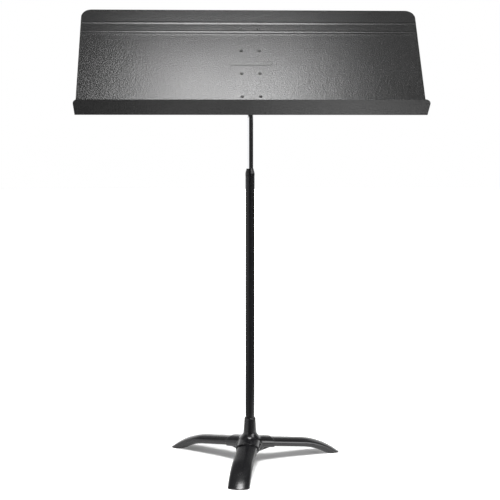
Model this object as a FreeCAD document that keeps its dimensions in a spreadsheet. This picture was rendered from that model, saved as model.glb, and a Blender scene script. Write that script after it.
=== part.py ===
import FreeCAD, Part
import math
import os

import Sketcher
from FreeCAD import Placement, Rotation, Vector

# An orchestra music stand: a three-legged base, an outer tube, an inner rod held at any height
# by a friction clutch, and a wide sheet-metal desk on a tilting head.
#
# Frame: +Z up, the floor at Z = 0, the desk faces -Y and its width runs along X.
# The origin is on the floor under the middle of the whole stand, so the shaft stands a little
# behind it (shaft_back). All lengths are in millimetres and all angles in degrees.

SIZES = {
    # whole stand
    "shaft_back": 37.6,
    "base_turn": -8.9,
    "leg_count": 3,
    "pivot_height": 953.5,
    "desk_lean": 36.3,
    # desk: one folded sheet, measured from the line where its two faces meet
    "desk_width": 812.8,
    "panel_height": 317.5,
    "shelf_depth": 57.15,
    "sheet_wall": 1.6,
    "fold_radius": 1.0,
    "panel_corner": 24.0,
    "shelf_corner": 16.0,
    "bead_blend": 1.6,
    "ripple_drop": 50.5,
    "ripple_step": 4.7,
    "ripple_rise": 0.65,
    "ripple_depth": 0.35,
    "bead_drop": 84.5,
    "bead_fall": 8.4,
    "bead_step": 3.9,
    "bead_rise": 0.75,
    # plain raised bar between the rivets
    "bar_drop": 166.7,
    "bar_blend": 0.5,
    "bar_length": 103.0,
    "bar_width": 12.0,
    "bar_rise": 0.8,
    # rivets
    "rivet_columns": 2,
    "rivet_rows": 4,
    "rivet_spread": 42.8,
    "rivet_pitch": 68.6,
    "rivet_drop": 266.0,
    "rivet_shank": 2.0,
    "rivet_head": 4.0,
    "rivet_dome": 1.9,
    "rivet_tail": 3.2,
    "rivet_upset": 1.4,
    "hole_play": 0.1,
    # bracket behind the desk
    "bracket_width": 66.0,
    "bracket_wall": 2.0,
    "bracket_foot_drop": 279.5,
    "bracket_head_drop": 52.5,
    "bracket_flange": 12.0,
    "bracket_corner": 6.0,
    "ear_reach": 13.0,
    "ear_spread": 12.0,
    "ear_foot": 46.0,
    "pivot_behind": 35.1,
    # tilt pivot
    "pin_radius": 4.0,
    "pin_play": 0.05,
    "friction_wall": 1.5,
    "friction_radius": 11.0,
    "face_play": 0.05,
    "washer_wall": 1.6,
    "washer_radius": 8.5,
    "spring_wall": 1.0,
    "spring_rise": 1.1,
    "spring_radius": 8.0,
    "nut_across": 13.0,
    "nut_length": 8.0,
    "bolt_head": 5.3,
    "bolt_stand": 2.2,
    # tilt head and inner rod
    "barrel_radius": 11.0,
    "stem_radius": 9.5,
    "stem_length": 22.0,
    "spigot_length": 30.0,
    "rod_radius": 7.95,
    "rod_wall": 1.5,
    "rod_length": 646.5,
    "plug_length": 14.0,
    "plug_flange": 2.0,
    "press_play": 0.05,
    # outer tube and clutch
    "clutch_space": 1.5,
    "tube_wall": 1.65,
    "tube_seat": 36.0,
    "tube_top": 705.0,
    "collar_height": 17.0,
    "collar_lip": 0.3,
    "collar_straight": 6.0,
    "collar_nose": 0.65,
    "collar_blend": 16.0,
    "collar_spigot": 22.0,
    "sleeve_length": 90.0,
    "slot_count": 4,
    "slot_width": 1.6,
    "slot_web": 18.0,
    "band_width": 5.0,
    "band_wall": 0.6,
    "band_inset": 8.0,
    # hub
    "hub_bottom": 24.0,
    "hub_boss": 22.0,
    "hub_belly": 35.0,
    "hub_belly_low": 33.0,
    "hub_belly_high": 50.0,
    "hub_shoulder": 64.0,
    "hub_shoulder_flare": 4.6,
    "neck_bottom": 70.0,
    "neck_top": 109.5,
    "neck_wall": 2.65,
    "neck_flare": 2.55,
    "neck_chamfer": 1.2,
    "socket_play": 0.1,
    "sleeve_wall": 2.5,
    "sleeve_reach": 56.0,
    "keel_width": 24.0,
    "keel_reach": 47.0,
    "keel_low": 30.5,
    # legs
    "leg_half_width": 25.8,
    "leg_half_height": 11.0,
    "leg_side_radius": 8.0,
    "leg_wall": 1.8,
    "leg_play": 0.15,
    "leg_root": 20.0,
    "leg_height": 49.6,
    "leg_slope": 7.0,
    "leg_bend_start": 140.0,
    "leg_bend_radius": 185.0,
    "leg_foot_slope": 35.5,
    # rubber feet
    "foot_flange": 1.8,
    "foot_plug": 9.0,
    "foot_play": 0.1,
    # fasteners under the hub
    "bolt_radius": 4.0,
    "bolt_across": 13.0,
    "bolt_reach": 26.0,
    "insert_length": 24.0,
    "well_radius": 10.5,
    "well_depth": 7.4,
    "screw_radius": 2.5,
    "screw_head_radius": 4.8,
    "screw_head": 2.6,
    "screw_at": 42.0,
    "screw_length": 11.0,
    "socket_across": 3.0,
    "socket_depth": 1.6,
    "leg_nut_across": 8.0,
    "leg_nut_length": 4.0,
    "leg_nut_lift": 0.3,
}

doc = FreeCAD.newDocument("music_stand")
sheet = doc.addObject("Spreadsheet::Sheet", "sizes")
for row, (alias, value) in enumerate(SIZES.items(), start=1):
    sheet.set(f"A{row}", alias)
    sheet.set(f"B{row}", str(value))
    sheet.setAlias(f"B{row}", alias)
doc.recompute()

nodes = []


def size(expression):
    """The value of a sheet cell, or of a formula of such cells."""
    return float(sheet.evalExpression(expression))


def cell(expression):
    """A formula of aliases, written for an object outside the sheet."""
    words = []
    word = ""
    for character in expression + " ":
        if character.isalnum() or character == "_":
            word += character
            continue
        words.append("sizes." + word if word in SIZES else word)
        words.append(character)
        word = ""
    return "".join(words).strip()


def keep(node, label, placement):
    """Names a finished sub-part and puts it in its place."""
    node.Label = label
    node.Placement = placement
    nodes.append(node)
    return node


def new_body(name):
    body = doc.addObject("PartDesign::Body", name + "_body")
    body.AllowCompound = True
    return body


def origin_feature(body, role):
    return next(item for item in body.Origin.OriginFeatures if item.Role == role)


AXES = {"x": Vector(1, 0, 0), "y": Vector(0, 1, 0), "z": Vector(0, 0, 1)}


def sketch_on(body, role, name, shift=("0", "0", "0"), turn=("z", "0")):
    """A sketch on one of the body's own planes, shifted and turned by formulas."""
    sketch = body.newObject("Sketcher::SketchObject", name)
    sketch.AttachmentSupport = [(origin_feature(body, role), "")]
    sketch.MapMode = "FlatFace"
    rotation = Rotation(AXES[turn[0]], size(turn[1]))
    sketch.AttachmentOffset = Placement(Vector(*[size(part) for part in shift]), rotation)
    for axis, expression in zip("xyz", shift):
        if expression != "0":
            sketch.setExpression("AttachmentOffset.Base." + axis, cell(expression))
    if turn[1] != "0":
        sketch.setExpression("AttachmentOffset.Rotation.Angle", cell(turn[1]))
    return sketch


def fix(sketch, constraint, expression):
    """Adds a sized constraint and ties it to a formula."""
    index = sketch.addConstraint(constraint)
    sketch.setExpression(f"Constraints[{index}]", cell(expression))


def pin_down(sketch, geometry, position, point):
    """Ties one point of a sketch to a pair of formulas."""
    for kind, formula in zip(("DistanceX", "DistanceY"), point):
        fix(sketch, Sketcher.Constraint(kind, -1, 1, geometry, position, size(formula)), formula)


def polygon(sketch, points):
    """A closed outline of straight lines through points given as pairs of formulas."""
    places = [Vector(size(across), size(up), 0) for across, up in points]
    first = len(sketch.Geometry)
    count = len(places)
    for index in range(count):
        line = Part.LineSegment(places[index], places[(index + 1) % count])
        sketch.addGeometry(line, False)
    for index in range(count):
        following = first + (index + 1) % count
        sketch.addConstraint(Sketcher.Constraint("Coincident", first + index, 2, following, 1))
    for index, point in enumerate(points):
        pin_down(sketch, first + index, 1, point)
    return sketch


def circle(sketch, centre, radius):
    place = Vector(size(centre[0]), size(centre[1]), 0)
    shape = Part.Circle(place, Vector(0, 0, 1), size(radius))
    index = sketch.addGeometry(shape, False)
    pin_down(sketch, index, 3, centre)
    fix(sketch, Sketcher.Constraint("Radius", index, size(radius)), radius)
    return sketch


def oval(sketch, centre_height, outset):
    """The flattened section of a leg, grown by outset: two side arcs and two crowns."""
    wide = f"(leg_half_width + {outset})"
    tall = f"(leg_half_height + {outset})"
    side = f"(leg_side_radius + {outset})"
    crown = f"(({wide}^2 - 2 * {wide} * {side} + {tall}^2) / (2 * ({tall} - {side})))"
    rise = math.degrees(math.atan2(size(f"{crown} - {tall}"), size(f"{wide} - {side}")))
    centre = f"({centre_height})"
    arcs = [
        (f"{wide} - {side}", centre, side, -rise, rise),
        ("0", f"{centre} + {tall} - {crown}", crown, rise, 180 - rise),
        (f"{side} - {wide}", centre, side, 180 - rise, 180 + rise),
        ("0", f"{centre} - {tall} + {crown}", crown, 180 + rise, 360 - rise),
    ]
    for across, up, radius, start, end in arcs:
        place = Vector(size(across), size(up), 0)
        whole = Part.Circle(place, Vector(0, 0, 1), size(radius))
        sketch.addGeometry(Part.ArcOfCircle(whole, math.radians(start), math.radians(end)), False)
    for index in range(4):
        sketch.addConstraint(Sketcher.Constraint("Tangent", index, 2, (index + 1) % 4, 1))
    for index, (across, up, radius, _, _) in enumerate(arcs):
        if index % 2 == 0:
            pin_down(sketch, index, 3, (across, up))
            fix(sketch, Sketcher.Constraint("Radius", index, size(radius)), radius)
        else:
            fix(sketch, Sketcher.Constraint("DistanceY", -1, 1, index, 3, size(up)), up)
    return sketch


def turn_about(body, sketch, name, axis="V_Axis"):
    """Turns a sketch once round one of its own axes."""
    turned = body.newObject("PartDesign::Revolution", name)
    turned.Profile = sketch
    turned.ReferenceAxis = (sketch, [axis])
    turned.Angle = 360
    body.Tip = turned
    return turned


def revolve(body, outline, name, place=None):
    """Turns an outline of (radius, height) pairs about the upright axis of its sketch."""
    sketch = polygon(place or sketch_on(body, "XZ_Plane", name + "_outline"), outline)
    return turn_about(body, sketch, name)


def pad(body, sketch, length, name, both_ways=False, reverse=False):
    padded = body.newObject("PartDesign::Pad", name)
    padded.Profile = sketch
    padded.Length = size(length)
    padded.setExpression("Length", cell(length))
    padded.SideType = "Symmetric" if both_ways else "One side"
    padded.Reversed = reverse
    body.Tip = padded
    return padded


def pocket(body, sketch, length, name, both_ways=False, reverse=False):
    cut = body.newObject("PartDesign::Pocket", name)
    cut.Profile = sketch
    cut.Length = size(length)
    cut.setExpression("Length", cell(length))
    cut.SideType = "Symmetric" if both_ways else "One side"
    cut.Reversed = reverse
    body.Tip = cut
    return cut


def fillet(body, radius, wanted, name):
    """Rounds each edge of the body for which wanted(edge) is true."""
    doc.recompute()
    base = body.Tip
    names = [f"Edge{number}" for number, edge in enumerate(base.Shape.Edges, 1) if wanted(edge)]
    rounded = body.newObject("PartDesign::Fillet", name)
    rounded.Base = (base, names)
    rounded.Radius = size(radius)
    rounded.setExpression("Radius", cell(radius))
    body.Tip = rounded
    return rounded


def around(body, originals, count, name):
    """Repeats features evenly about the upright axis."""
    pattern = body.newObject("PartDesign::PolarPattern", name)
    pattern.Originals = originals
    pattern.Axis = (origin_feature(body, "Z_Axis"), [""])
    pattern.Angle = 360
    pattern.Occurrences = round(size(count))
    pattern.setExpression("Occurrences", cell(count))
    body.Tip = pattern
    return pattern


def ring(label, inner, outer, low, high, placement):
    """A plain turned ring, washer or tube."""
    body = new_body(label)
    outline = [(inner, low), (outer, low), (outer, high), (inner, high)]
    revolve(body, outline, label + "_turned")
    return keep(body, label, placement)


def hexagon(sketch, across):
    """A hexagon across its flats, centred on the sketch's origin."""
    corners = []
    for step in range(6):
        angle = 60 * step
        reach = f"{across} / sqrt(3)"
        corners.append((f"{reach} * cos({angle})", f"{reach} * sin({angle})"))
    return polygon(sketch, corners)


# Sizes that follow from others: the tube is as wide as the rod and its clutch need, and the
# panel's stampings, rivets and bracket are measured down from its top edge.
TUBE_BORE = "(rod_radius + clutch_space)"
TUBE_SKIN = f"({TUBE_BORE} + tube_wall)"
NECK_SKIN = f"({TUBE_SKIN} + socket_play + neck_wall)"
BEAD_FOOT = "(panel_height - bead_drop)"
RIPPLE_FOOT = "(panel_height - ripple_drop)"
FIRST_RIVET = "(panel_height - rivet_drop)"
BRACKET_FOOT = "(panel_height - bracket_foot_drop)"
BRACKET_HEAD = "(panel_height - bracket_head_drop)"
PIVOT_UP = f"({FIRST_RIVET} + rivet_pitch * (rivet_rows - 1) / 2)"

SHAFT = Placement(Vector(0, size("shaft_back"), 0), Rotation())
LEG_TURN = 360 / size("leg_count")
LEG_NAMES = ["front", "right", "left"]


def leg_place(index):
    """The place of a leg drawn along +X: the first one points at the player."""
    turn = size("base_turn") - 90 + index * LEG_TURN
    return Placement(SHAFT.Base, Rotation(Vector(0, 0, 1), turn))


# --- Base: cast hub ---------------------------------------------------------------------------
# A turned core with a neck for the tube, three sleeves for the legs and a keel under each one.


def leg_line(radius):
    """Height of a leg's centre line on its straight stretch."""
    return f"(leg_height - ({radius}) * tan(leg_slope))"


def leg_path(body, name, start, end, bent):
    """The centre line of a leg in its upright plane: straight, then an arc, then straight."""
    path = sketch_on(body, "XZ_Plane", name)
    if not bent:
        line = Part.LineSegment(
            Vector(size(start), size(leg_line(start)), 0), Vector(size(end), size(leg_line(end)), 0)
        )
        path.addGeometry(line, False)
        pin_down(path, 0, 1, (start, leg_line(start)))
        pin_down(path, 0, 2, (end, leg_line(end)))
        return path
    centre = (
        "leg_bend_start - leg_bend_radius * sin(leg_slope)",
        f"{leg_line('leg_bend_start')} - leg_bend_radius * cos(leg_slope)",
    )
    bend_end = (
        f"{centre[0]} + leg_bend_radius * sin(leg_foot_slope)",
        f"{centre[1]} + leg_bend_radius * cos(leg_foot_slope)",
    )
    tail = "(3 * leg_half_height)"
    tip = (
        f"{bend_end[0]} + {tail} * cos(leg_foot_slope)",
        f"{bend_end[1]} - {tail} * sin(leg_foot_slope)",
    )
    bend_start = ("leg_bend_start", leg_line("leg_bend_start"))
    places = {}
    for key, point in {"start": bend_start, "end": bend_end, "tip": tip, "centre": centre}.items():
        places[key] = Vector(size(point[0]), size(point[1]), 0)
    root = Vector(size(start), size(leg_line(start)), 0)
    bend = Part.Circle(places["centre"], Vector(0, 0, 1), size("leg_bend_radius"))
    first_angle = math.radians(90 - size("leg_foot_slope"))
    last_angle = math.radians(90 - size("leg_slope"))
    path.addGeometry(Part.LineSegment(root, places["start"]), False)
    path.addGeometry(Part.ArcOfCircle(bend, first_angle, last_angle), False)
    path.addGeometry(Part.LineSegment(places["end"], places["tip"]), False)
    path.addConstraint(Sketcher.Constraint("Coincident", 0, 2, 1, 2))
    path.addConstraint(Sketcher.Constraint("Coincident", 1, 1, 2, 1))
    pin_down(path, 0, 1, (start, leg_line(start)))
    pin_down(path, 0, 2, bend_start)
    pin_down(path, 1, 3, centre)
    reach = Sketcher.Constraint("DistanceX", -1, 1, 1, 1, size(bend_end[0]))
    fix(path, reach, bend_end[0])
    pin_down(path, 2, 2, tip)
    return path


def leg_pipe(body, name, outset, start, end=None, cut=False):
    """Sweeps the leg's oval, grown by outset, along its centre line."""
    path = leg_path(body, name + "_path", start, end, bent=end is None)
    section = sketch_on(body, "YZ_Plane", name + "_section", ("0", "0", start))
    oval(section, leg_line(start), outset)
    kind = "PartDesign::SubtractivePipe" if cut else "PartDesign::AdditivePipe"
    pipe = body.newObject(kind, name)
    pipe.Profile = section
    pipe.Spine = (path, [f"Edge{number + 1}" for number in range(len(path.Geometry))])
    body.Tip = pipe
    return pipe


SCREW_SEAT = "(-(leg_half_height + leg_play) * cos(leg_slope) - sleeve_wall)"


def screw_flat():
    """The middle of a leg at its screw, in the plane of the leg."""
    return ("screw_at", leg_line("screw_at"), "0")


def screw_shift(along):
    """A point of a leg screw's axis, which stands square to the leg."""
    return (
        f"screw_at + ({along}) * sin(leg_slope)",
        "0",
        f"{leg_line('screw_at')} + ({along}) * cos(leg_slope)",
    )


def make_hub():
    body = new_body("base_hub")
    core = [
        ("0", "hub_bottom"),
        ("hub_boss", "hub_bottom"),
        ("hub_belly", "hub_belly_low"),
        ("hub_belly", "hub_belly_high"),
        (f"{NECK_SKIN} + neck_flare + hub_shoulder_flare", "hub_shoulder"),
        (f"{NECK_SKIN} + neck_flare", "neck_bottom"),
        (NECK_SKIN, "neck_top - neck_chamfer"),
        (f"{NECK_SKIN} - neck_chamfer", "neck_top"),
        ("0", "neck_top"),
    ]
    revolve(body, core, "hub_core")
    sleeve = leg_pipe(body, "hub_sleeve", "leg_play + sleeve_wall", "hub_boss / 2", "sleeve_reach")
    outline = [
        ("hub_boss / 2", "hub_bottom"),
        ("hub_boss", "hub_bottom"),
        ("keel_reach", "keel_low"),
        ("keel_reach", leg_line("keel_reach")),
        ("hub_boss / 2", leg_line("hub_boss / 2")),
    ]
    keel_sketch = polygon(sketch_on(body, "XZ_Plane", "hub_keel_outline"), outline)
    keel = pad(body, keel_sketch, "keel_width", "hub_keel", both_ways=True)
    around(body, [sleeve, keel], "leg_count", "hub_arms")
    end_space = "sleeve_reach + sleeve_wall"
    space = leg_pipe(body, "hub_leg_space", "leg_play", "leg_root", end_space, cut=True)
    spaces = [space]
    for radius, top, depth, name in [
        ("screw_radius + hole_play", "0", "4 * leg_half_height", "hub_screw_hole"),
        ("screw_head_radius + hole_play", SCREW_SEAT, "hub_boss", "hub_screw_well"),
    ]:
        outline = sketch_on(body, "XY_Plane", name + "_outline", screw_shift(top), ("y", "leg_slope"))
        circle(outline, ("0", "0"), radius)
        spaces.append(pocket(body, outline, depth, name))
    around(body, spaces, "leg_count", "hub_leg_spaces")
    shaft_spaces = [
        (f"{TUBE_SKIN} + socket_play", "tube_seat", "neck_top", "hub_socket", True),
        ("bolt_radius + hole_play", "0", "neck_top", "hub_bolt_hole", True),
        ("well_radius", "hub_bottom + well_depth", "hub_bottom", "hub_bolt_well", False),
    ]
    for radius, base, depth, name, upward in shaft_spaces:
        outline = sketch_on(body, "XY_Plane", name + "_outline", ("0", "0", base))
        circle(outline, ("0", "0"), radius)
        pocket(body, outline, depth, name, reverse=upward)
    return keep(body, "base_hub", leg_place(0))


make_hub()

# --- Base: three flattened steel tubes for legs, their feet and their screws -------------------


def make_leg(index):
    """A bent oval tube, cut level at the floor, with a screw hole near its root."""
    label = "leg_" + LEG_NAMES[index]
    body = new_body(label)
    root = "leg_root + leg_play"
    leg_pipe(body, label + "_skin", "0", root)
    leg_pipe(body, label + "_bore", "-leg_wall", root, cut=True)
    below = [
        ("leg_bend_start", "foot_flange"),
        ("leg_bend_start", "-leg_bend_radius"),
        ("3 * leg_bend_start", "-leg_bend_radius"),
        ("3 * leg_bend_start", "foot_flange"),
    ]
    under_foot = polygon(sketch_on(body, "XZ_Plane", label + "_level_outline"), below)
    pocket(body, under_foot, "4 * leg_half_width", label + "_level", both_ways=True)
    outline = sketch_on(
        body, "XY_Plane", label + "_hole_outline", screw_shift("0"), ("y", "leg_slope")
    )
    circle(outline, ("0", "0"), "screw_radius + hole_play")
    pocket(body, outline, "2 * leg_half_height", label + "_hole")
    return keep(body, label, leg_place(index))


def make_feet():
    """Rubber feet: a flange that carries on the tube's outline, and a plug inside the tube."""
    forms = {}
    for name, outset in [("foot_skin", "0"), ("foot_core", "-leg_wall - foot_play")]:
        body = new_body(name)
        leg_pipe(body, name + "_sweep", outset, "leg_root")
        forms[name] = body
    slabs = [
        ("foot_skin", "0", "foot_flange"),
        ("foot_core", "foot_flange", "foot_plug"),
    ]
    halves = []
    for name, low, thick in slabs:
        slab = doc.addObject("Part::Box", name + "_slab")
        slab.setExpression("Length", cell("2 * leg_bend_start"))
        slab.setExpression("Width", cell("4 * leg_half_width"))
        slab.setExpression("Height", cell(thick))
        slab.setExpression("Placement.Base.x", cell("leg_bend_start"))
        slab.setExpression("Placement.Base.y", cell("-2 * leg_half_width"))
        slab.setExpression("Placement.Base.z", cell(low))
        half = doc.addObject("Part::Common", name + "_slice")
        half.Base = forms[name]
        half.Tool = slab
        halves.append(half)
    for index, side in enumerate(LEG_NAMES):
        foot = doc.addObject("Part::Fuse", "foot_" + side)
        foot.Base = halves[0]
        foot.Tool = halves[1]
        foot.Refine = True
        keep(foot, "foot_pad_" + side, leg_place(index))


def make_leg_screws():
    """Three button-head screws, up through the sleeves and into the legs."""
    body = new_body("leg_screws")
    place = sketch_on(body, "XZ_Plane", "leg_screw_outline", screw_flat(), ("z", "-leg_slope"))
    outline = [
        ("0", f"{SCREW_SEAT} - screw_head"),
        ("0.7 * screw_head_radius", f"{SCREW_SEAT} - screw_head"),
        ("screw_head_radius", f"{SCREW_SEAT} - 0.4 * screw_head"),
        ("screw_head_radius", SCREW_SEAT),
        ("screw_radius", SCREW_SEAT),
        ("screw_radius", f"{SCREW_SEAT} + screw_length"),
        ("0", f"{SCREW_SEAT} + screw_length"),
    ]
    screw = revolve(body, outline, "leg_screw", place)
    drive = sketch_on(
        body,
        "XY_Plane",
        "leg_screw_drive",
        screw_shift(f"{SCREW_SEAT} - screw_head + socket_depth"),
        ("y", "leg_slope"),
    )
    hexagon(drive, "socket_across")
    recess = pocket(body, drive, "screw_head", "leg_screw_recess")
    around(body, [screw, recess], "leg_count", "leg_screw_ring")
    keep(body, "leg_screws", leg_place(0))


def make_leg_nuts():
    """Three nuts on the inner floor of the legs, one on each screw."""
    body = new_body("leg_nuts")
    low = "leg_nut_lift - (leg_half_height - leg_wall) * cos(leg_slope)"
    places = []
    for name in ("leg_nut", "leg_nut_bore"):
        place = sketch_on(body, "XY_Plane", name + "_outline", screw_shift(low), ("y", "leg_slope"))
        places.append(place)
    nut = pad(body, hexagon(places[0], "leg_nut_across"), "leg_nut_length", "leg_nut")
    circle(places[1], ("0", "0"), "screw_radius + pin_play")
    bore = pocket(body, places[1], "2 * leg_nut_length", "leg_nut_bore", reverse=True)
    around(body, [nut, bore], "leg_count", "leg_nut_ring")
    keep(body, "leg_nuts", leg_place(0))


for number in range(len(LEG_NAMES)):
    make_leg(number)
make_feet()
make_leg_screws()
make_leg_nuts()

# --- Base: outer tube, its threaded insert, and the bolt that draws it into the hub -------------

BOLT_SEAT = "(hub_bottom + well_depth)"

ring("outer_tube", TUBE_BORE, TUBE_SKIN, "tube_seat", "tube_top", SHAFT)
ring(
    "tube_insert",
    "bolt_radius + pin_play",
    f"{TUBE_BORE} - press_play",
    "tube_seat",
    "tube_seat + insert_length",
    SHAFT,
)
ring(
    "shaft_washer",
    "bolt_radius + hole_play",
    "washer_radius",
    f"{BOLT_SEAT} - washer_wall",
    BOLT_SEAT,
    SHAFT,
)


def hex_bolt(label, radius, across, seat, head, length, placement):
    """A hexagon bolt along its own Z, its head below the seat."""
    body = new_body(label)
    under = f"({seat}) - {head}"
    outline = sketch_on(body, "XY_Plane", label + "_head_outline", ("0", "0", under))
    pad(body, hexagon(outline, across), head, label + "_head")
    shank = [
        ("0", seat),
        (radius, seat),
        (radius, f"({seat}) + {length} - 0.2 * {radius}"),
        (f"0.8 * {radius}", f"({seat}) + {length}"),
        ("0", f"({seat}) + {length}"),
    ]
    revolve(body, shank, label + "_shank")
    return keep(body, label, placement)


hex_bolt(
    "shaft_bolt",
    "bolt_radius",
    "bolt_across",
    f"{BOLT_SEAT} - washer_wall",
    "bolt_head",
    "bolt_reach",
    SHAFT,
)

# --- Clutch: the collar on the tube, the split sleeve that grips the rod, and its band ----------

ROD_SPACE = "(rod_radius + pin_play)"
CLUTCH_OUTSIDE = f"({TUBE_BORE} - pin_play)"
SLEEVE_TOP = "(tube_top - collar_spigot)"
SLEEVE_BOTTOM = f"({SLEEVE_TOP} - sleeve_length)"


def make_collar():
    """A nose that closes the tube, with a spigot inside it; it turns with the rod."""
    body = new_body("clutch_collar")
    outline = [
        (ROD_SPACE, SLEEVE_TOP),
        (CLUTCH_OUTSIDE, SLEEVE_TOP),
        (CLUTCH_OUTSIDE, "tube_top + face_play"),
        (f"{TUBE_SKIN} + collar_lip", "tube_top + face_play"),
        (f"{TUBE_SKIN} + collar_lip", "tube_top + collar_straight"),
        ("rod_radius + collar_nose", "tube_top + collar_height"),
        (ROD_SPACE, "tube_top + collar_height"),
    ]
    revolve(body, outline, "collar_turned")
    level = size("tube_top + collar_straight")
    fillet(body, "collar_blend", lambda edge: is_circle_at(edge, level), "collar_shoulder")
    keep(body, "clutch_collar", SHAFT)


def is_circle_at(edge, level):
    """True for a closed round edge that lies at a height."""
    box = edge.BoundBox
    return edge.isClosed() and abs(box.ZMin - level) < 0.01 and abs(box.ZMax - level) < 0.01


def make_sleeve():
    """A tube of spring bronze, slotted from below into fingers that press on the rod."""
    body = new_body("clutch_sleeve")
    band_low = f"{SLEEVE_BOTTOM} + band_inset"
    band_high = f"{band_low} + band_width"
    outline = [
        (ROD_SPACE, SLEEVE_BOTTOM),
        (CLUTCH_OUTSIDE, SLEEVE_BOTTOM),
        (CLUTCH_OUTSIDE, band_low),
        (f"{CLUTCH_OUTSIDE} - band_wall", band_low),
        (f"{CLUTCH_OUTSIDE} - band_wall", band_high),
        (CLUTCH_OUTSIDE, band_high),
        (CLUTCH_OUTSIDE, SLEEVE_TOP),
        (ROD_SPACE, SLEEVE_TOP),
    ]
    revolve(body, outline, "sleeve_turned")
    slot_top = f"{SLEEVE_TOP} - slot_web"
    slot = [
        ("-slot_width / 2", f"{SLEEVE_BOTTOM} - slot_width"),
        ("slot_width / 2", f"{SLEEVE_BOTTOM} - slot_width"),
        ("slot_width / 2", slot_top),
        ("-slot_width / 2", slot_top),
    ]
    outline = polygon(sketch_on(body, "YZ_Plane", "sleeve_slot_outline"), slot)
    cut = pocket(body, outline, TUBE_SKIN, "sleeve_slot", reverse=True)
    around(body, [cut], "slot_count", "sleeve_slots")
    keep(body, "clutch_sleeve", SHAFT)
    ring(
        "clutch_band",
        f"{CLUTCH_OUTSIDE} - band_wall + pin_play",
        f"{CLUTCH_OUTSIDE} - pin_play",
        f"{band_low} + face_play",
        f"{band_high} - face_play",
        SHAFT,
    )


make_collar()
make_sleeve()

# --- Rod: chromed tube, its end plug, and the tilt head on top ----------------------------------

ROD_BORE = "(rod_radius - rod_wall)"
ROD_TOP = "(pivot_height - stem_length)"
ROD_BOTTOM = f"({ROD_TOP} - rod_length)"
EAR_INSIDE = "(bracket_width / 2 - bracket_wall)"
BARREL_HALF = f"({EAR_INSIDE} - friction_wall - face_play)"

ring("inner_rod", ROD_BORE, "rod_radius", ROD_BOTTOM, ROD_TOP, SHAFT)


def make_rod_plug():
    """A moulded plug that closes the rod's lower end."""
    body = new_body("rod_plug")
    outline = [
        ("0", f"{ROD_BOTTOM} - plug_flange"),
        ("rod_radius - hole_play - plug_flange / 4", f"{ROD_BOTTOM} - plug_flange"),
        ("rod_radius - hole_play", f"{ROD_BOTTOM} - plug_flange / 2"),
        ("rod_radius - hole_play", ROD_BOTTOM),
        (f"{ROD_BORE} - press_play", ROD_BOTTOM),
        (f"{ROD_BORE} - press_play", f"{ROD_BOTTOM} + plug_length"),
        ("0", f"{ROD_BOTTOM} + plug_length"),
    ]
    revolve(body, outline, "plug_turned")
    keep(body, "rod_plug", SHAFT)


def make_tilt_head():
    """A cross barrel with a stem; the stem's spigot is pressed into the rod."""
    body = new_body("tilt_head")
    stem = [
        ("0", f"{ROD_TOP} - spigot_length"),
        (f"{ROD_BORE} - press_play", f"{ROD_TOP} - spigot_length"),
        (f"{ROD_BORE} - press_play", ROD_TOP),
        ("stem_radius", ROD_TOP),
        ("stem_radius", "pivot_height"),
        ("0", "pivot_height"),
    ]
    revolve(body, stem, "head_stem")
    barrel = circle(
        sketch_on(body, "YZ_Plane", "head_barrel_outline"), ("0", "pivot_height"), "barrel_radius"
    )
    pad(body, barrel, f"2 * {BARREL_HALF}", "head_barrel", both_ways=True)
    bore = circle(
        sketch_on(body, "YZ_Plane", "head_bore_outline"), ("0", "pivot_height"), "pin_radius + pin_play"
    )
    pocket(body, bore, f"3 * {BARREL_HALF}", "head_bore", both_ways=True)
    keep(body, "tilt_head", SHAFT)


make_rod_plug()
make_tilt_head()

# --- Desk ---------------------------------------------------------------------------------------
# Drawn upright: the line where shelf and panel meet is at Y = 0, Z = 0, the panel rises along +Z
# and the shelf comes forward along -Y. The whole desk is then leaned back about its pivot.

LEAN = Rotation(Vector(1, 0, 0), -size("desk_lean"))
PIVOT = Vector(0, size("shaft_back"), size("pivot_height"))
PIVOT_ON_DESK = Vector(0, size("pivot_behind"), size(PIVOT_UP))
DESK = Placement(PIVOT - LEAN.multVec(PIVOT_ON_DESK), LEAN)
PIN = Placement(PIVOT, LEAN * Rotation(Vector(0, 1, 0), 90))


def is_long(edge, across, up):
    """True for an edge that runs the desk's full width through a point of its section."""
    box = edge.BoundBox
    level = abs(box.YMin - across) < 0.01 and abs(box.ZMin - up) < 0.01
    return level and box.XLength > 0.9 * size("desk_width") and box.YLength < 0.01


def is_corner(edge, axis, across, up):
    """True for a short edge through the sheet at one end of the desk."""
    box = edge.BoundBox
    lengths = {"y": box.YLength, "z": box.ZLength}
    at_end = abs(abs(box.Center.x) - size("desk_width") / 2) < 0.01 and box.XLength < 0.01
    through = abs(lengths[axis] - size("sheet_wall")) < 0.01
    near = max(abs(box.Center.y - across), abs(box.Center.z - up)) < size("sheet_wall")
    return at_end and through and near


def stamped_line():
    """The panel's face from the fold to its top: plain, a pair of raised beads, a ripple, plain."""
    line = [("0", "0"), ("0", BEAD_FOOT)]
    line.append(("-bead_rise", f"{BEAD_FOOT} + bead_fall"))
    for step, depth in enumerate(["0", "-bead_rise", "0"], start=1):
        line.append((depth, f"{BEAD_FOOT} + bead_fall + {step} * bead_step"))
    for step, depth in enumerate(["0", "ripple_depth", "-ripple_rise", "0"]):
        line.append((depth, f"{RIPPLE_FOOT} + {step} * ripple_step"))
    return line


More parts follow.
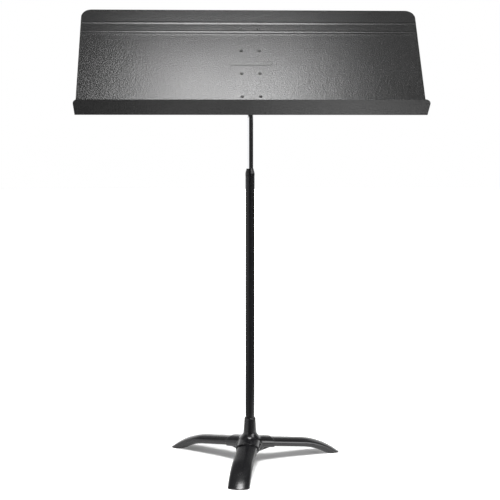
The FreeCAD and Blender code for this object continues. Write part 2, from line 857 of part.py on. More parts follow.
def make_desk_panel():
    body = new_body("desk_panel")
    stamped = stamped_line()
    front = [("-shelf_depth", "0")] + stamped + [("0", "panel_height")]
    back = [(f"{across} + sheet_wall", up) for across, up in reversed(stamped[1:])]
    under = [("sheet_wall", "-sheet_wall"), ("-shelf_depth", "-sheet_wall")]
    section = front + [("sheet_wall", "panel_height")] + back + under
    outline = polygon(sketch_on(body, "YZ_Plane", "desk_section"), section)
    pad(body, outline, "desk_width", "desk_sheet", both_ways=True)
    wall = size("sheet_wall")
    bends = [(size(across) + offset, size(up)) for across, up in stamped[1:] for offset in (0, wall)]
    fillet(
        body,
        "bead_blend",
        lambda edge: any(is_long(edge, across, up) for across, up in bends),
        "desk_stamping",
    )
    fillet(body, "fold_radius", lambda edge: is_long(edge, 0, 0), "desk_fold_inside")
    fillet(
        body, "fold_radius + sheet_wall", lambda edge: is_long(edge, wall, -wall), "desk_fold_outside"
    )
    top = size("panel_height")
    lip = -size("shelf_depth")
    fillet(body, "panel_corner", lambda edge: is_corner(edge, "y", wall / 2, top), "panel_corners")
    fillet(body, "shelf_corner", lambda edge: is_corner(edge, "z", lip, -wall / 2), "shelf_corners")
    bar = sketch_on(body, "XZ_Plane", "desk_bar_outline")
    half = "(bar_length / 2 - bar_width / 2)"
    corners = [(f"-{half}", "panel_height - bar_drop"), (half, "panel_height - bar_drop")]
    slot_outline(bar, corners, "bar_width / 2")
    pad(body, bar, "bar_rise", "desk_bar")
    level = -size("bar_rise")
    middle = size("panel_height - bar_drop")

    def is_bar_edge(edge):
        box = edge.BoundBox
        flat = abs(box.YMin - level) < 0.01 and box.YLength < 0.01
        return flat and abs(box.Center.z - middle) < size("bar_width")

    fillet(body, "bar_blend", is_bar_edge, "desk_bar_edge")
    hole = sketch_on(body, "XZ_Plane", "desk_rivet_hole_outline")
    circle(hole, ("-rivet_spread / 2", FIRST_RIVET), "rivet_shank + hole_play")
    cut = pocket(body, hole, "4 * sheet_wall", "desk_rivet_hole", both_ways=True)
    rivet_grid(body, [cut], "desk_rivet_holes")
    return keep(body, "desk_panel", DESK)


def slot_outline(sketch, centres, radius):
    """A slot with round ends between two centres on one level."""
    (left, level), (right, _) = centres
    reach = size(radius)
    left_place = Vector(size(left), size(level), 0)
    right_place = Vector(size(right), size(level), 0)
    up = Vector(0, reach, 0)
    upward = Vector(0, 0, 1)
    quarter = math.pi / 2
    sketch.addGeometry(Part.LineSegment(left_place - up, right_place - up), False)
    right_end = Part.Circle(right_place, upward, reach)
    sketch.addGeometry(Part.ArcOfCircle(right_end, -quarter, quarter), False)
    sketch.addGeometry(Part.LineSegment(right_place + up, left_place + up), False)
    left_end = Part.Circle(left_place, upward, reach)
    sketch.addGeometry(Part.ArcOfCircle(left_end, quarter, 3 * quarter), False)
    for index in range(4):
        sketch.addConstraint(Sketcher.Constraint("Tangent", index, 2, (index + 1) % 4, 1))
    sketch.addConstraint(Sketcher.Constraint("Equal", 1, 3))
    pin_down(sketch, 1, 3, (right, level))
    pin_down(sketch, 3, 3, (left, level))
    fix(sketch, Sketcher.Constraint("Radius", 1, reach), radius)


def rivet_grid(body, originals, name):
    """Repeats features over the rivets' columns and rows."""
    grid = body.newObject("PartDesign::MultiTransform", name)
    grid.Originals = originals
    steps = [
        ("X_Axis", "rivet_spread * (rivet_columns - 1)", "rivet_columns"),
        ("Z_Axis", "rivet_pitch * (rivet_rows - 1)", "rivet_rows"),
    ]
    patterns = []
    for role, length, count in steps:
        pattern = body.newObject("PartDesign::LinearPattern", name + "_" + role)
        pattern.Direction = (origin_feature(body, role), [""])
        pattern.Length = size(length)
        pattern.setExpression("Length", cell(length))
        pattern.Occurrences = round(size(count))
        pattern.setExpression("Occurrences", cell(count))
        patterns.append(pattern)
    grid.Transformations = patterns
    body.Tip = grid
    return grid


def rivet_section(sketch):
    """Half of a rivet, along Y: a domed head, a shank through both sheets and an upset tail."""
    clamped = "(sheet_wall + bracket_wall)"
    dome = "((rivet_head^2 + rivet_dome^2) / (2 * rivet_dome))"
    centre = (f"{dome} - rivet_dome", "0")
    corners = [
        ("0", "rivet_head"),
        ("0", "rivet_shank"),
        (clamped, "rivet_shank"),
        (clamped, "rivet_tail"),
        (f"{clamped} + rivet_upset", "0.7 * rivet_tail"),
        (f"{clamped} + rivet_upset", "0"),
        ("-rivet_dome", "0"),
    ]
    places = [Vector(size(along), size(out), 0) for along, out in corners]
    for start, end in zip(places, places[1:]):
        sketch.addGeometry(Part.LineSegment(start, end), False)
    last = len(places) - 2
    round_head = Part.Circle(Vector(size(centre[0]), 0, 0), Vector(0, 0, 1), size(dome))
    rim = math.pi - math.asin(size(f"rivet_head / {dome}"))
    head = sketch.addGeometry(Part.ArcOfCircle(round_head, rim, math.pi), False)
    for index in range(last):
        sketch.addConstraint(Sketcher.Constraint("Coincident", index, 2, index + 1, 1))
    sketch.addConstraint(Sketcher.Constraint("Coincident", head, 1, 0, 1))
    sketch.addConstraint(Sketcher.Constraint("Coincident", head, 2, last, 2))
    for index, point in enumerate(corners[:-1]):
        pin_down(sketch, index, 1, point)
    pin_down(sketch, head, 3, centre)
    sketch.addConstraint(Sketcher.Constraint("DistanceY", -1, 1, last, 2, 0))
    return sketch


def make_rivets():
    """Eight rivets through the panel and the bracket, headed in front and upset behind."""
    body = new_body("desk_rivets")
    shift = ("0", FIRST_RIVET, "-rivet_spread / 2")
    section = rivet_section(sketch_on(body, "YZ_Plane", "rivet_outline", shift))
    rivet = turn_about(body, section, "rivet", "H_Axis")
    rivet_grid(body, [rivet], "rivets")
    keep(body, "desk_rivets", DESK)


def make_bracket():
    """A pressed channel: a web riveted to the panel and two ears that carry the pivot."""
    body = new_body("back_bracket")
    back = "(sheet_wall + bracket_flange)"
    ear = "(pivot_behind + ear_reach)"
    side = [
        ("sheet_wall", BRACKET_FOOT),
        (back, BRACKET_FOOT),
        (back, f"{PIVOT_UP} - ear_foot"),
        (ear, f"{PIVOT_UP} - ear_spread"),
        (ear, f"{PIVOT_UP} + ear_spread"),
        (back, f"{PIVOT_UP} + ear_foot"),
        (back, BRACKET_HEAD),
        ("sheet_wall", BRACKET_HEAD),
    ]
    outline = polygon(sketch_on(body, "YZ_Plane", "bracket_side"), side)
    pad(body, outline, "bracket_width", "bracket_block", both_ways=True)
    corners = [(size(across), size(up)) for across, up in side[1:-1]]

    def is_side_corner(edge):
        box = edge.BoundBox
        near = [abs(box.YMin - y) < 0.01 and abs(box.ZMin - z) < 0.01 for y, z in corners]
        return any(near) and box.XLength > 0.9 * size("bracket_width")

    fillet(body, "bracket_corner", is_side_corner, "bracket_corners")
    inside = "(sheet_wall + bracket_wall)"
    hollow = [
        (inside, f"{BRACKET_FOOT} - bracket_wall"),
        (inside, f"{BRACKET_HEAD} + bracket_wall"),
        (f"{ear} + bracket_wall", f"{BRACKET_HEAD} + bracket_wall"),
        (f"{ear} + bracket_wall", f"{BRACKET_FOOT} - bracket_wall"),
    ]
    channel = polygon(sketch_on(body, "YZ_Plane", "bracket_hollow_outline"), hollow)
    pocket(body, channel, f"2 * {EAR_INSIDE}", "bracket_hollow", both_ways=True)
    pivot = sketch_on(body, "YZ_Plane", "bracket_pivot_outline")
    circle(pivot, ("pivot_behind", PIVOT_UP), "pin_radius + hole_play")
    pocket(body, pivot, "2 * bracket_width", "bracket_pivot_hole", both_ways=True)
    hole = sketch_on(body, "XZ_Plane", "bracket_rivet_hole_outline")
    circle(hole, ("-rivet_spread / 2", FIRST_RIVET), "rivet_shank + hole_play")
    cut = pocket(body, hole, "2 * pivot_behind", "bracket_rivet_hole", both_ways=True)
    rivet_grid(body, [cut], "bracket_rivet_holes")
    keep(body, "back_bracket", DESK)


make_desk_panel()
make_rivets()
make_bracket()

# --- Pivot: the pin through the ears, with its washers, spring and nut --------------------------
# Drawn along Z and laid along X, so that Z = 0 is the middle of the bracket.

EAR_OUTSIDE = "(bracket_width / 2)"
WASHER_FACE = f"({EAR_OUTSIDE} + washer_wall)"
SPRING_FACE = f"({WASHER_FACE} + spring_rise + spring_wall)"


def ring_pair(label, inner, outer, low, high):
    """Two equal rings, one on each side of the bracket's middle."""
    body = new_body(label)
    outline = [(inner, low), (outer, low), (outer, high), (inner, high)]
    one = revolve(body, outline, label + "_turned")
    both = body.newObject("PartDesign::Mirrored", label + "_pair")
    both.Originals = [one]
    both.MirrorPlane = (origin_feature(body, "XY_Plane"), [""])
    body.Tip = both
    keep(body, label, PIN)


def make_spring_washer():
    """A dished spring washer that keeps the friction at the ears even."""
    body = new_body("spring_washer")
    bore = "pin_radius + hole_play"
    outline = [
        (bore, f"{WASHER_FACE} + spring_rise"),
        ("spring_radius", WASHER_FACE),
        ("spring_radius", f"{WASHER_FACE} + spring_wall"),
        (bore, SPRING_FACE),
    ]
    revolve(body, outline, "spring_dished")
    keep(body, "spring_washer", PIN)


def make_pivot_nut():
    """A locking nut: a hexagon with a round collar over its nylon ring."""
    body = new_body("pivot_nut")
    outline = sketch_on(body, "XY_Plane", "nut_outline", ("0", "0", SPRING_FACE))
    pad(body, hexagon(outline, "nut_across"), "0.75 * nut_length", "nut_hexagon")
    collar = sketch_on(body, "XY_Plane", "nut_collar_outline", ("0", "0", SPRING_FACE))
    circle(collar, ("0", "0"), "0.45 * nut_across")
    pad(body, collar, "nut_length", "nut_collar")
    bore = sketch_on(body, "XY_Plane", "nut_bore_outline", ("0", "0", SPRING_FACE))
    circle(bore, ("0", "0"), "pin_radius + pin_play")
    pocket(body, bore, "2 * nut_length", "nut_bore", reverse=True)
    keep(body, "pivot_nut", PIN)


ring_pair("pivot_washers", "pin_radius + hole_play", "washer_radius", EAR_OUTSIDE, WASHER_FACE)
ring_pair(
    "friction_washers",
    "pin_radius + hole_play",
    "friction_radius",
    f"{EAR_INSIDE} - friction_wall",
    EAR_INSIDE,
)
make_spring_washer()
make_pivot_nut()
hex_bolt(
    "pivot_bolt",
    "pin_radius",
    "nut_across",
    f"-{WASHER_FACE}",
    "bolt_head",
    f"({WASHER_FACE} + {SPRING_FACE} + nut_length + bolt_stand)",
    PIN,
)

# --- Checks and files ---------------------------------------------------------------------------

doc.recompute()
for item in doc.Objects:
    if "Invalid" in item.State or "Error" in item.State:
        raise RuntimeError(f"{item.Name} did not build: {item.State}")
for node in nodes:
    if node.Shape.isNull() or not node.Shape.isValid() or not node.Shape.Solids:
        raise RuntimeError(f"{node.Label} has no valid solid")
for item in doc.Objects:
    if item.TypeId in ("PartDesign::Pocket", "PartDesign::SubtractivePipe"):
        if item.Shape.Volume > item.BaseFeature.Shape.Volume - 1:
            raise RuntimeError(f"{item.Name} cuts nothing")

os.makedirs("parts", exist_ok=True)
for node in nodes:
    node.Shape.exportStep(f"parts/{node.Label}.step")
    print(f"{node.Label:18} {len(node.Shape.Solids)} solids {node.Shape.Volume / 1000:9.2f} cm3")
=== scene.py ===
import math

import bpy
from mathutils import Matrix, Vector


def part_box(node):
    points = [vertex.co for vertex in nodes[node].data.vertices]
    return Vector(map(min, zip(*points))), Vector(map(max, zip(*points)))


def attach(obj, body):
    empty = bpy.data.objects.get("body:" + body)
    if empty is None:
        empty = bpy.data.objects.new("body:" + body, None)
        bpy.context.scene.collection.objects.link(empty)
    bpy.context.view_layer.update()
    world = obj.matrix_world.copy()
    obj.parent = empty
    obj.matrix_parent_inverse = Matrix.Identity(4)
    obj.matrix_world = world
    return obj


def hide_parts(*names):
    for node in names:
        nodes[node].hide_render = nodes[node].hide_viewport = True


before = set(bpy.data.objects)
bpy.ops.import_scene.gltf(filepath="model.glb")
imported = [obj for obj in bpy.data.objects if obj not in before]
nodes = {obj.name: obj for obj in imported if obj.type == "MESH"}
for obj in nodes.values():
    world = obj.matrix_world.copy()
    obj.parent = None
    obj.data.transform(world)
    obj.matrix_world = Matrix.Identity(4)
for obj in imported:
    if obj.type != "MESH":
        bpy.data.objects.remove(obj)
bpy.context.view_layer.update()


# ---- Hub: one aluminium casting with a neck for the tube, three sleeves for the legs and a keel
# under each. Sand-cast, so its corners are soft, then dipped in gloss black enamel.
MERGE_WITHIN = 0.000005


def copy_of(node, name):
    """A free copy of a node's mesh, its doubles merged, ready to be reshaped."""
    bpy.ops.object.select_all(action="DESELECT")
    source = nodes[node]
    source.select_set(True)
    bpy.context.view_layer.objects.active = source
    bpy.ops.object.duplicate()
    piece = bpy.context.view_layer.objects.active
    piece.name = piece.data.name = name
    piece.parent = None
    for key in list(piece.keys()):
        del piece[key]
    bpy.ops.mesh.customdata_custom_splitnormals_clear()
    bpy.ops.object.mode_set(mode="EDIT")
    bpy.ops.mesh.select_all(action="SELECT")
    bpy.ops.mesh.remove_doubles(threshold=MERGE_WITHIN)
    bpy.ops.object.mode_set(mode="OBJECT")
    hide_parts(node)
    return piece


def apply_modifier(piece, kind, **settings):
    """Adds a modifier, sets it and applies it."""
    modifier = piece.modifiers.new(kind.lower(), kind)
    for key, value in settings.items():
        setattr(modifier, key, value)
    bpy.context.view_layer.objects.active = piece
    bpy.ops.object.modifier_apply(modifier=modifier.name)


def paint(piece, coat):
    """Gives a piece one coat all over."""
    piece.data.materials.clear()
    piece.data.materials.append(coat)


def finish_piece(piece, body, coat):
    """Gives a piece its coat and the body it moves with."""
    paint(piece, coat)
    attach(piece, body)


class Coat:
    """A finish under way: its material, its shader and short ways to add and join nodes."""

    def __init__(self, name):
        self.material = bpy.data.materials.new(name)
        self.material.use_nodes = True
        self.tree = self.material.node_tree
        self.shader = self.tree.nodes["Principled BSDF"]
        place = self.tree.nodes.new("ShaderNodeTexCoord")
        self.place = place.outputs["Object"]

    def set(self, **values):
        for key, value in values.items():
            self.shader.inputs[key.replace("_", " ")].default_value = value

    def stretched(self, scale):
        """The piece's own coordinates, drawn out so that marks run along it."""
        mapping = self.tree.nodes.new("ShaderNodeMapping")
        mapping.inputs["Scale"].default_value = scale
        self.tree.links.new(self.place, mapping.inputs["Vector"])
        return mapping.outputs["Vector"]

    def noise(self, scale, detail=2.0, rough=0.5, along=None):
        node = self.tree.nodes.new("ShaderNodeTexNoise")
        node.inputs["Scale"].default_value = scale
        node.inputs["Detail"].default_value = detail
        node.inputs["Roughness"].default_value = rough
        self.tree.links.new(along or self.place, node.inputs["Vector"])
        return node.outputs["Fac"]

    def spread(self, value, low, high, to_low, to_high):
        """Maps a value from low..high to to_low..to_high, and no further."""
        node = self.tree.nodes.new("ShaderNodeMapRange")
        node.inputs["From Min"].default_value = low
        node.inputs["From Max"].default_value = high
        node.inputs["To Min"].default_value = to_low
        node.inputs["To Max"].default_value = to_high
        self.tree.links.new(value, node.inputs["Value"])
        return node.outputs["Result"]

    def combine(self, how, first, second):
        node = self.tree.nodes.new("ShaderNodeMath")
        node.operation = how
        for socket, value in zip(node.inputs, (first, second)):
            if isinstance(value, float):
                socket.default_value = value
            else:
                self.tree.links.new(value, socket)
        return node.outputs["Value"]

    def blend(self, factor, first, second):
        """Mixes two colours, or a colour into a mix made before."""
        node = self.tree.nodes.new("ShaderNodeMix")
        node.data_type = "RGBA"
        self.tree.links.new(factor, node.inputs["Factor"])
        for socket, value in ((node.inputs["A"], first), (node.inputs["B"], second)):
            if isinstance(value, tuple):
                socket.default_value = value + (1.0,)
            else:
                self.tree.links.new(value, socket)
        return node.outputs["Result"]

    def feed(self, key, value):
        self.tree.links.new(value, self.shader.inputs[key])

    def raise_skin(self, height, depth):
        """Bumps the skin by a height map whose full range is depth metres."""
        node = self.tree.nodes.new("ShaderNodeBump")
        node.inputs["Strength"].default_value = 1.0
        node.inputs["Distance"].default_value = depth
        self.tree.links.new(height, node.inputs["Height"])
        self.tree.links.new(node.outputs["Normal"], self.shader.inputs["Normal"])


def gloss_enamel():
    """Dipped gloss black enamel: a faint orange peel, a few rubbed and dusty patches."""
    coat = Coat("gloss_black_enamel")
    coat.set(IOR=1.48)
    rubbed = coat.spread(coat.noise(26.0, 5.0, 0.6), 0.52, 0.72, 0.0, 1.0)
    dust = coat.spread(coat.noise(420.0, 3.0, 0.7), 0.55, 0.8, 0.0, 1.0)
    patch = coat.combine("MULTIPLY", rubbed, dust)
    coat.feed("Base Color", coat.blend(patch, (0.0045, 0.0045, 0.005), (0.03, 0.03, 0.031)))
    coat.feed("Roughness", coat.spread(rubbed, 0.0, 1.0, 0.22, 0.3))
    coat.raise_skin(coat.noise(240.0, 2.0), 0.00003)
    return coat.material


CAST_GRAIN = 0.0012
enamel = gloss_enamel()
hub = copy_of("base_hub", "hub_casting")
apply_modifier(hub, "REMESH", mode="VOXEL", voxel_size=CAST_GRAIN, use_smooth_shade=True)
apply_modifier(hub, "SMOOTH", factor=0.6, iterations=5)
finish_piece(hub, "base", enamel)


# ---- Legs: three steel tubes, flattened to an oval, bent down to the floor and cut level there.
# Each is pushed into a sleeve of the hub; same gloss enamel.
FLAT_WITHIN = math.radians(0.1)
SHARP_FROM = math.radians(35.0)
SMOOTH_UP_TO = math.radians(45.0)


def eased_copy(node, name, edge):
    """The node's own shape with every sharp edge eased, as a made piece has it."""
    piece = copy_of(node, name)
    bpy.ops.object.mode_set(mode="EDIT")
    bpy.ops.mesh.select_all(action="SELECT")
    bpy.ops.mesh.dissolve_limited(angle_limit=FLAT_WITHIN)
    bpy.ops.object.mode_set(mode="OBJECT")
    apply_modifier(
        piece,
        "BEVEL",
        limit_method="ANGLE",
        angle_limit=SHARP_FROM,
        width=edge,
        segments=2,
        use_clamp_overlap=True,
    )
    bpy.ops.object.shade_smooth_by_angle(angle=SMOOTH_UP_TO)
    apply_modifier(piece, "WEIGHTED_NORMAL", mode="FACE_AREA", weight=80, keep_sharp=True)
    return piece


for side in ("front", "right", "left"):
    leg = eased_copy("leg_" + side, side + "_leg_tube", 0.0004)
    finish_piece(leg, "base", enamel)


# ---- Feet: moulded rubber plugs pushed into the cut ends of the legs, with a flange that carries
# on the tube's outline down to the floor.
def foot_rubber():
    coat = Coat("foot_rubber")
    coat.set(IOR=1.5)
    cloud = coat.noise(60.0, 4.0)
    coat.feed("Base Color", coat.blend(cloud, (0.012, 0.012, 0.012), (0.03, 0.029, 0.028)))
    coat.feed("Roughness", coat.spread(cloud, 0.3, 0.7, 0.62, 0.78))
    coat.raise_skin(coat.noise(900.0, 2.0), 0.00005)
    return coat.material


rubber = foot_rubber()
for side in ("front", "right", "left"):
    foot = eased_copy("foot_pad_" + side, side + "_foot", 0.0005)
    finish_piece(foot, "base", rubber)


# ---- Small steelwork under the hub: three button-head screws with their nuts, and the bolt and
# washer that draw the tube down into its socket. Bright zinc plate.
def zinc_plate():
    coat = Coat("bright_zinc_plate")
    coat.set(Metallic=1.0)
    haze = coat.noise(320.0, 3.0, 0.6)
    coat.feed("Base Color", coat.blend(haze, (0.5, 0.51, 0.53), (0.7, 0.71, 0.72)))
    coat.feed("Roughness", coat.spread(haze, 0.3, 0.7, 0.22, 0.38))
    coat.raise_skin(coat.noise(1400.0, 2.0), 0.00001)
    return coat.material


zinc = zinc_plate()
finish_piece(eased_copy("leg_screws", "leg_screw_set", 0.0002), "base", zinc)
finish_piece(eased_copy("shaft_bolt", "hub_bolt", 0.0003), "base", zinc)
finish_piece(eased_copy("shaft_washer", "hub_washer", 0.0002), "base", zinc)
paint(nodes["leg_nuts"], zinc)


# ---- Outer tube: drawn steel tube in satin black enamel, pressed into the neck of the hub, with a
# threaded slug of turned steel in its foot.
def satin_enamel():
    coat = Coat("satin_black_enamel")
    coat.set(IOR=1.37)
    streak = coat.noise(30.0, 4.0, 0.6, coat.stretched((1.0, 1.0, 0.08)))
    fleck = coat.spread(coat.noise(900.0, 2.0), 0.35, 0.75, 0.0, 1.0)
    coat.feed("Base Color", coat.blend(fleck, (0.003, 0.003, 0.0035), (0.007, 0.007, 0.0075)))
    coat.feed("Roughness", coat.spread(streak, 0.3, 0.7, 0.22, 0.3))
    coat.raise_skin(coat.noise(500.0, 3.0), 0.00003)
    return coat.material


def turned_steel():
    coat = Coat("turned_steel")
    coat.set(Metallic=1.0)
    rings = coat.noise(60.0, 3.0, 0.6, coat.stretched((1.0, 1.0, 30.0)))
    coat.feed("Base Color", coat.blend(rings, (0.4, 0.4, 0.41), (0.56, 0.56, 0.57)))
    coat.feed("Roughness", coat.spread(rings, 0.3, 0.7, 0.25, 0.4))
    coat.raise_skin(rings, 0.00002)
    return coat.material


satin = satin_enamel()
steel = turned_steel()
finish_piece(eased_copy("outer_tube", "outer_shaft", 0.0004), "base", satin)
paint(nodes["tube_insert"], steel)

# ---- Clutch: a turned collar that closes the tube and turns with the rod, a split bronze sleeve
# whose fingers grip the rod, and a spring band round the fingers.
finish_piece(eased_copy("clutch_collar", "clutch_nose", 0.0003), "clutch", satin)


def spring_bronze():
    coat = Coat("spring_bronze")
    coat.set(Metallic=1.0)
    cloud = coat.noise(140.0, 4.0)
    coat.feed("Base Color", coat.blend(cloud, (0.45, 0.27, 0.12), (0.66, 0.44, 0.22)))
    coat.feed("Roughness", coat.spread(cloud, 0.3, 0.7, 0.25, 0.42))
    return coat.material


paint(nodes["clutch_sleeve"], spring_bronze())
paint(nodes["clutch_band"], steel)


# ---- Inner rod: chromed steel tube with fine polishing lines, a nylon plug in its lower end and a
# turned head welded to the top, whose cross barrel carries the pivot bolt.
def chrome_plate():
    coat = Coat("chrome_plate")
    coat.set(Metallic=1.0)
    cloud = coat.noise(40.0, 4.0, 0.6)
    coat.feed("Base Color", coat.blend(cloud, (0.66, 0.665, 0.68), (0.72, 0.725, 0.735)))
    lines = coat.noise(300.0, 2.0, 0.5, coat.stretched((1.0, 1.0, 0.02)))
    smear = coat.combine("MULTIPLY", lines, cloud)
    coat.feed("Roughness", coat.spread(smear, 0.1, 0.4, 0.04, 0.12))
    return coat.material


def moulded_nylon():
    coat = Coat("moulded_nylon")
    cloud = coat.noise(90.0, 3.0)
    coat.feed("Base Color", coat.blend(cloud, (0.03, 0.03, 0.031), (0.055, 0.055, 0.056)))
    coat.feed("Roughness", coat.spread(cloud, 0.3, 0.7, 0.42, 0.55))
    coat.raise_skin(coat.noise(700.0, 2.0), 0.00003)
    return coat.material


finish_piece(eased_copy("inner_rod", "chromed_rod", 0.0003), "rod", chrome_plate())
paint(nodes["rod_plug"], moulded_nylon())
finish_piece(eased_copy("tilt_head", "pivot_head", 0.0005), "rod", steel)


# ---- Desk panel: one aluminium sheet, folded into a tall panel and a short shelf, stamped with
# raised beads to stiffen it and sprayed with a fine-textured black powder coat.
def powder_coat():
    """Black polyester powder: a fine pebbled skin with a slightly uneven sheen."""
    coat = Coat("black_powder_coat")
    coat.set(IOR=1.36)
    pebble = coat.noise(330.0, 3.0, 0.6)
    cloud = coat.noise(11.0, 4.0, 0.55)
    coat.feed("Roughness", coat.spread(cloud, 0.3, 0.7, 0.3, 0.34))
    coat.feed("Base Color", coat.blend(pebble, (0.002, 0.002, 0.002), (0.007, 0.007, 0.007)))
    coat.raise_skin(pebble, 0.00075)
    return coat.material


powder = powder_coat()
finish_piece(eased_copy("desk_panel", "desk_sheet", 0.0003), "desk", powder)
finish_piece(eased_copy("desk_rivets", "rivet_heads", 0.0002), "desk", powder)
finish_piece(
    eased_copy("back_bracket", "pressed_bracket", 0.0003), "desk", powder
)


# ---- Pivot: a bolt through the bracket's ears with a lock nut, plain washers, a dished spring
# washer and two pressed-fibre friction washers between the ears and the head.
def pressed_fibre():
    coat = Coat("pressed_fibre")
    felt = coat.noise(500.0, 5.0, 0.7)
    coat.feed("Base Color", coat.blend(felt, (0.16, 0.1, 0.06), (0.38, 0.27, 0.17)))
    coat.feed("Roughness", coat.spread(felt, 0.3, 0.7, 0.7, 0.9))
    coat.raise_skin(felt, 0.0001)
    return coat.material


for node, name in [
    ("pivot_washers", "plain_washers"),
    ("spring_washer", "dished_washer"),
    ("pivot_nut", "lock_nut"),
    ("pivot_bolt", "tilt_bolt"),
]:
    finish_piece(eased_copy(node, name, 0.0002), "desk", zinc)
paint(nodes["friction_washers"], pressed_fibre())

# ---- Table: a white disc under the stand, a little to the right, which the reflections see, and a
# wide white floor under it which they don't. Both glow with painted light, faint near the stand and
# full away from it, which washes out the desk's cast shadow on the floor; towards the right the glow
# is painted brighter, standing in for the softbox's light there.
TABLE_REACH = 0.42
TABLE_SHIFT = (0.1, 0.17, -0.0002)
FLOOR_REACH = 14.0
FLOOR_SHIFT = (0.0, 0.0, -0.001)
# Painted light: where the table's glow rises away from the stand, and where it is painted brighter
# towards the right.
GLOW_START, GLOW_END = 0.18, 0.45
GLOW_NEAR, GLOW_FAR = 0.1, 1.05
RIGHT_START, RIGHT_END = 0.05, 0.4
RIGHT_PAINTED_LIGHT_GAIN = 2.4
shaft_low, shaft_high = (Vector(corner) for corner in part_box("outer_tube"))
shaft_axis = (shaft_low + shaft_high) / 2


def white_table():
    coat = Coat("white_table")
    coat.set(Roughness=0.9)
    coat.shader.inputs["Base Color"].default_value = (0.8, 0.8, 0.8, 1.0)
    distance = coat.tree.nodes.new("ShaderNodeVectorMath")
    distance.operation = "DISTANCE"
    distance.inputs[1].default_value = (shaft_axis.x, shaft_axis.y, 0.0)
    coat.tree.links.new(coat.place, distance.inputs[0])
    # Painted light: the table glows faintly near the stand and fully further out, so the desk's
    # shadow on the floor is washed out.
    glow = coat.spread(distance.outputs["Value"], GLOW_START, GLOW_END, GLOW_NEAR, GLOW_FAR)
    split = coat.tree.nodes.new("ShaderNodeSeparateXYZ")
    coat.tree.links.new(coat.place, split.inputs["Vector"])
    # Painted light: towards the right the glow is painted up to 2.4 times brighter, standing in for
    # the softbox's light on the floor there.
    painted_right_light = coat.spread(split.outputs["X"], RIGHT_START, RIGHT_END, 1.0, RIGHT_PAINTED_LIGHT_GAIN)
    coat.shader.inputs["Emission Color"].default_value = (1.0, 1.0, 1.0, 1.0)
    coat.feed("Emission Strength", coat.combine("MULTIPLY", glow, painted_right_light))
    return coat.material


white = white_table()
for name, radius, shift in (
    ("studio_table", TABLE_REACH, TABLE_SHIFT),
    ("studio_floor", FLOOR_REACH, FLOOR_SHIFT),
):
    bpy.ops.object.select_all(action="DESELECT")
    bpy.ops.mesh.primitive_circle_add(vertices=128, radius=radius, fill_type="NGON")
    ground = bpy.context.active_object
    ground.name = name
    bpy.ops.object.mode_set(mode="EDIT")
    bpy.ops.transform.translate(value=shift)
    bpy.ops.object.mode_set(mode="OBJECT")
    ground.data.materials.append(white)
    ground.visible_glossy = name == "studio_table"


# ---- Surround, seen by reflections only: a lit backdrop behind and to the left, a wall and a tall
# softbox to the right, and dark on the camera's side. Straight on, the studio is plain white.
world = bpy.data.worlds.new("studio_surround")
world.use_nodes = True
bpy.context.scene.world = world
sky = world.node_tree
sky.nodes.clear()


def maths(how, first, second=0.0):
    node = sky.nodes.new("ShaderNodeMath")
    node.operation = how
    for socket, value in zip(node.inputs, (first, second)):
        if isinstance(value, float):
            socket.default_value = value
        else:
            sky.links.new(value, socket)
    return node.outputs["Value"]


def product(first, *others):
    for other in others:
        first = maths("MULTIPLY", first, other)
    return first


def ramp(value, start, end, before, after):
    """Eases from one strength to another while an angle goes from start to end."""
    node = sky.nodes.new("ShaderNodeMapRange")
    node.interpolation_type = "SMOOTHSTEP"
    sky.links.new(value, node.inputs["Value"])
    for key, number in zip(("From Min", "From Max", "To Min", "To Max"), (start, end, before, after)):
        node.inputs[key].default_value = number
    return node.outputs["Result"]


place = sky.nodes.new("ShaderNodeTexCoord")
split = sky.nodes.new("ShaderNodeSeparateXYZ")
sky.links.new(place.outputs["Generated"], split.inputs["Vector"])
across, along, up = (split.outputs[axis] for axis in "XYZ")
bearing = maths("DEGREES", maths("ARCTAN2", across, maths("MULTIPLY", along, -1.0)))
climb = maths("DEGREES", maths("ARCSINE", up))
left_side = product(ramp(bearing, -42, -28, 1.3, 0.0), ramp(climb, -14, -4, 0.12, 1.0))
right_side = ramp(bearing, 134, 146, 0.0, 1.15)
far = ramp(maths("ABSOLUTE", bearing), 150, 166, 0.0, 1.0)
side_top = ramp(climb, 25, 39, 1.0, 0.06)
far_top = ramp(climb, 13, 23, 0.0, 1.0)
backdrop = product(
    maths("ADD", left_side, right_side),
    side_top,
    maths("SUBTRACT", 1.0, product(far, far_top, 0.94)),
)
wall = product(
    ramp(bearing, 56, 66, 0.0, 1.3),
    ramp(bearing, 140, 152, 1.0, 0.0),
    ramp(climb, 0.6, 2.6, 0.0, 1.0),
    ramp(climb, 20, 35, 1.0, 0.0),
)
softbox = product(
    ramp(bearing, 28, 34, 0.0, 6.0),
    ramp(bearing, 66, 72, 1.0, 0.0),
    ramp(climb, 6, 13, 0.0, 1.0),
    ramp(climb, 55, 62, 1.0, 0.0),
)
ceiling = ramp(climb, -5, 60, 0.03, 0.11)
light = maths("ADD", maths("ADD", backdrop, wall), maths("ADD", softbox, ceiling))


def glow_of(strength):
    node = sky.nodes.new("ShaderNodeBackground")
    if isinstance(strength, float):
        node.inputs["Strength"].default_value = strength
    else:
        sky.links.new(strength, node.inputs["Strength"])
    node.inputs["Color"].default_value = (1.0, 1.0, 1.0, 1.0)
    return node.outputs["Background"]


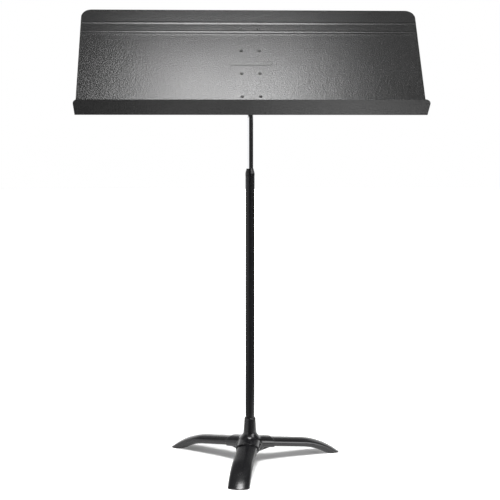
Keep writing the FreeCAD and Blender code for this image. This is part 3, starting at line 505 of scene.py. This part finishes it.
def choose(ray_kind, otherwise, chosen):
    """Shows one glow to rays of a kind and another to all the others."""
    node = sky.nodes.new("ShaderNodeMixShader")
    sky.links.new(ray.outputs[ray_kind], node.inputs["Fac"])
    sky.links.new(otherwise, node.inputs[1])
    sky.links.new(chosen, node.inputs[2])
    return node.outputs["Shader"]


FILL = 0.42
ray = sky.nodes.new("ShaderNodeLightPath")
lit = choose("Is Glossy Ray", glow_of(FILL), glow_of(light))
output = sky.nodes.new("ShaderNodeOutputWorld")
sky.links.new(choose("Is Camera Ray", lit, glow_of(1.0)), output.inputs["Surface"])


# ---- Lights and camera: a small soft light above the shelf, which washes the desk from its fold
# upwards, and a larger one high in front for the shadows on the table. The camera stands in front.
def soft_light(name, size, power, position, target, depth=None):
    bpy.ops.object.light_add(type="AREA", location=position)
    light = bpy.context.active_object
    light.name = name
    light.data.shape = "RECTANGLE"
    light.data.size = size
    light.data.size_y = depth or size
    light.data.energy = power
    light.rotation_euler = (Vector(target) - Vector(position)).to_track_quat("-Z", "Y").to_euler()
    return light


desk_light = soft_light(
    "desk_softbox", 0.5, 13.0, (-0.05, -0.26, 1.47), (-0.05, -0.08, 0.86), depth=0.2
)
desk_light.visible_camera = False
key_light = soft_light("key_softbox", 1.3, 115.0, (0.2, -0.9, 2.4), (0.0, 0.0, 0.05))
key_light.visible_glossy = False

CAMERA_DISTANCE = 2.788
CAMERA_HEIGHT = 0.807
CAMERA_SIDE = math.radians(-2.3)
CAMERA_DIP = math.radians(5.793)
CAMERA_LENS = 82.93
bpy.ops.object.camera_add(
    location=(
        shaft_axis.x + CAMERA_DISTANCE * math.sin(CAMERA_SIDE),
        shaft_axis.y - CAMERA_DISTANCE * math.cos(CAMERA_SIDE),
        CAMERA_HEIGHT,
    ),
    rotation=(math.pi / 2 - CAMERA_DIP, 0.0, CAMERA_SIDE),
)
camera = bpy.context.active_object
camera.name = "studio_camera"
camera.data.sensor_width = 36.0
camera.data.lens = CAMERA_LENS
bpy.context.scene.camera = camera
bpy.context.scene.view_settings.view_transform = "Standard"
